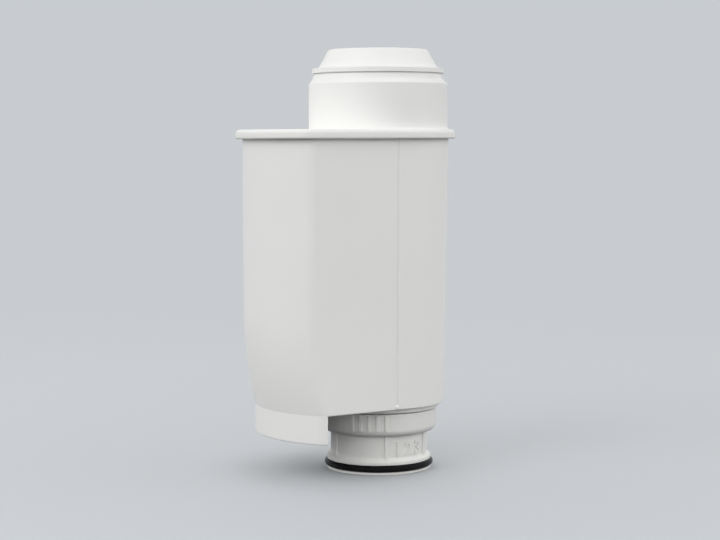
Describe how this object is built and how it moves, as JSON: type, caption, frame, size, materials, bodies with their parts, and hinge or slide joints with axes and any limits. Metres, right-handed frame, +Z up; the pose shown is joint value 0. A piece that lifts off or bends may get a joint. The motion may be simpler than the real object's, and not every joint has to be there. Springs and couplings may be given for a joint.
{
  "type": "coffee machine water filter",
  "caption": "White plastic water filter cartridge for a coffee machine's tank: a tall housing with a round tower above and a turning outlet nozzle with a seal ring below.",
  "frame": {"origin": "on the axis of the outlet nozzle, in the plane of the nozzle's lower face that the filter stands on", "axes": "+Z up along the nozzle's axis, -Y towards the wide bowed front, +X across, to the side that carries the index mark"},
  "size_m": [0.0624, 0.0681, 0.13],
  "materials": {
    "white_plastic": "satin moulded",
    "dial_plastic": "satin moulded",
    "screen_plastic": "matt moulded",
    "black_rubber": "smooth, lightly greased",
    "fleece": "non-woven fleece",
    "granules": "loose round beads"
  },
  "bodies": {
    "cartridge": {"housing": "white_plastic", "lid": "white_plastic", "filling_cap": "white_plastic", "spigot_seal_ring": "black_rubber", "inlet_strainer": "screen_plastic", "lower_screen": "screen_plastic", "lower_fleece": "fleece", "filter_media": "granules", "upper_fleece": "fleece", "upper_screen": "screen_plastic"},
    "dial": {"setting_dial": "dial_plastic", "nozzle_seal_ring": "black_rubber"}
  },
  "joints": [
    {"name": "dial_turn", "type": "hinge", "parent": "cartridge", "child": "dial", "pos_m": [0, 0, 0], "axis": [0, 0, 1], "range_deg": [-36, 0]}
  ]
}
